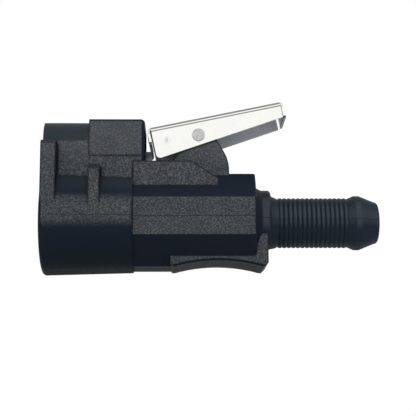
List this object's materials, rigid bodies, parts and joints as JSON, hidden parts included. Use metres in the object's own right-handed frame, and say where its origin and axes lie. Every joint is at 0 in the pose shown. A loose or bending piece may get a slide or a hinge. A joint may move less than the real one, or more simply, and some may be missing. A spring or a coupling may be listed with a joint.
{
  "type": "plastic quick disconnect coupling",
  "caption": "Socket half of a latching quick disconnect for fuel hose: round cup, octagonal body, sprung steel latch lever, check valve and ribbed hose barb.",
  "frame": {"origin": "centre of the plug socket's mouth, on the axis that the socket and the hose barb share", "axes": "+X along that axis from the mouth to the tip of the hose barb, +Z towards the latch lever, and the plane Y = 0 is the plane of symmetry"},
  "size_m": [0.0699, 0.0218, 0.0359],
  "materials": {
    "moulded_nylon": "grained black nylon moulding",
    "bushing_acetal": "smooth dark acetal",
    "seal_rubber": "black fuel-proof rubber",
    "ball_steel": "polished stainless ball",
    "spring_steel": "drawn stainless spring wire",
    "lever_stainless": "bright stainless sheet",
    "pin_stainless": "satin stainless with staked heads"
  },
  "bodies": {
    "housing": {"body": "moulded_nylon", "port_bushing": "bushing_acetal", "port_seal": "seal_rubber", "check_spring": "spring_steel", "lever_spring": "spring_steel"},
    "latch": {"latch_lever": "lever_stainless", "pivot_pin": "pin_stainless"},
    "valve": {"check_ball": "ball_steel"}
  },
  "joints": [
    {"name": "lever_pivot", "type": "hinge", "parent": "housing", "child": "latch", "pos_m": [0.0323, 0, 0.01765], "axis": [0, 1, 0], "range_deg": [0, 10], "stiffness_Nm_per_rad": 0.1, "springref_deg": -11.46, "deforming": ["lever_spring"]},
    {"name": "valve_travel", "type": "slide", "parent": "housing", "child": "valve", "axis": [1, 0, 0], "range_m": [0, 0.003], "stiffness_N_per_m": 120, "springref_m": -0.004, "deforming": ["check_spring"]}
  ]
}
